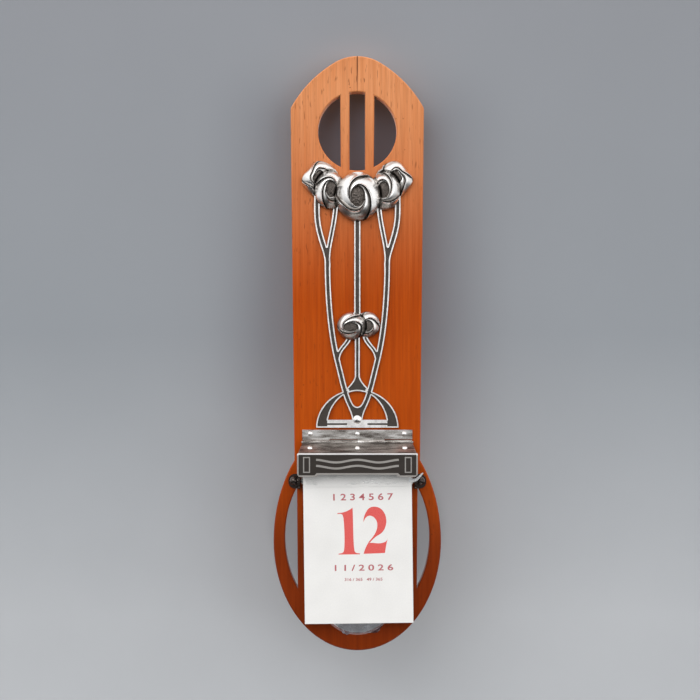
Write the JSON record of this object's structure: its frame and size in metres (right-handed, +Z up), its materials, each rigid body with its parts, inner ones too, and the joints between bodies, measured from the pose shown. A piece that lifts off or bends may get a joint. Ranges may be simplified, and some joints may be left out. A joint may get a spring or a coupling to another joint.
{
  "type": "wall calendar",
  "caption": "Long pierced wooden wall board with silver rose stems and a hinged clip that covers the head of a tear-off block held by ball-headed screws.",
  "frame": {"origin": "centre of the hanging hole, on the back of the board", "axes": "+X to the right seen from the front, +Y into the wall, +Z up"},
  "size_m": [0.1072, 0.0263, 0.3805],
  "materials": {
    "fruitwood": "varnished, fine upright grain",
    "silver": "oxidised silver, bright on the edges and dark in the hollows",
    "black_steel": "blackened",
    "steel": "plain",
    "brass": "dull",
    "paper": "smooth white, printed in red",
    "card": "plain grey",
    "film": "clear wrapping film"
  },
  "bodies": {
    "holder": {"backboard_left": "fruitwood", "backboard_right": "fruitwood", "hanger_plate": "brass", "hanger_screws": "steel", "stem_frame": "silver", "centre_stem": "silver", "rose_centre": "silver", "rose_inner_left": "silver", "rose_inner_right": "silver", "rose_outer_left": "silver", "rose_outer_right": "silver", "rose_small_left": "silver", "rose_small_right": "silver", "mount_studs": "silver", "mount_nail": "silver", "clip_flange": "silver", "flange_nails": "silver", "hinge_pin": "steel", "bracket_left": "black_steel", "bracket_right": "black_steel", "bracket_nails": "black_steel"},
    "lid": {"clip_cover": "silver", "front_plate": "silver", "inner_strip": "silver", "cover_rivets": "silver"},
    "block": {"pad_card": "card", "page_block": "paper", "binding_strip": "paper", "staples": "steel", "wrapper_film_head": "film", "wrapper_film_tail": "film"},
    "page": {"front_page": "paper"},
    "left_foot": {"screw_foot_left": "steel"},
    "left_screw": {"clamp_screw_left": "black_steel", "clamp_ball_left": "black_steel"},
    "right_foot": {"screw_foot_right": "steel"},
    "right_screw": {"clamp_screw_right": "black_steel", "clamp_ball_right": "black_steel"}
  },
  "joints": [
    {"name": "lid_hinge", "type": "hinge", "parent": "holder", "child": "lid", "pos_m": [0, -0.0109, -0.2349], "axis": [-1, 0, 0], "range_deg": [0, 75]},
    {"name": "block_slide", "type": "slide", "parent": "holder", "child": "block", "axis": [0.0129, 0, -0.9999], "range_m": [0, 0.024]},
    {"name": "page_lift", "type": "hinge", "parent": "block", "child": "page", "pos_m": [0.00005, -0.0191, -0.2628], "axis": [-0.9999, 0, -0.0129], "range_deg": [0, 100]},
    {"name": "left_screw_travel", "type": "slide", "parent": "holder", "child": "left_foot", "axis": [-1, 0, 0], "range_m": [0, 0.001]},
    {"name": "left_screw_turn", "type": "hinge", "parent": "left_foot", "child": "left_screw", "pos_m": [-0.038, -0.0145, -0.2592], "axis": [-1, 0, 0], "range_deg": [0, 720]},
    {"name": "right_screw_travel", "type": "slide", "parent": "holder", "child": "right_foot", "axis": [1, 0, 0], "range_m": [0, 0.001]},
    {"name": "right_screw_turn", "type": "hinge", "parent": "right_foot", "child": "right_screw", "pos_m": [0.038, -0.0145, -0.2592], "axis": [1, 0, 0], "range_deg": [0, 720]}
  ],
  "couplings": [
    {"joint": "left_screw_turn", "follows": "left_screw_travel", "rad_per_m": 12565},
    {"joint": "right_screw_turn", "follows": "right_screw_travel", "rad_per_m": 12565}
  ]
}
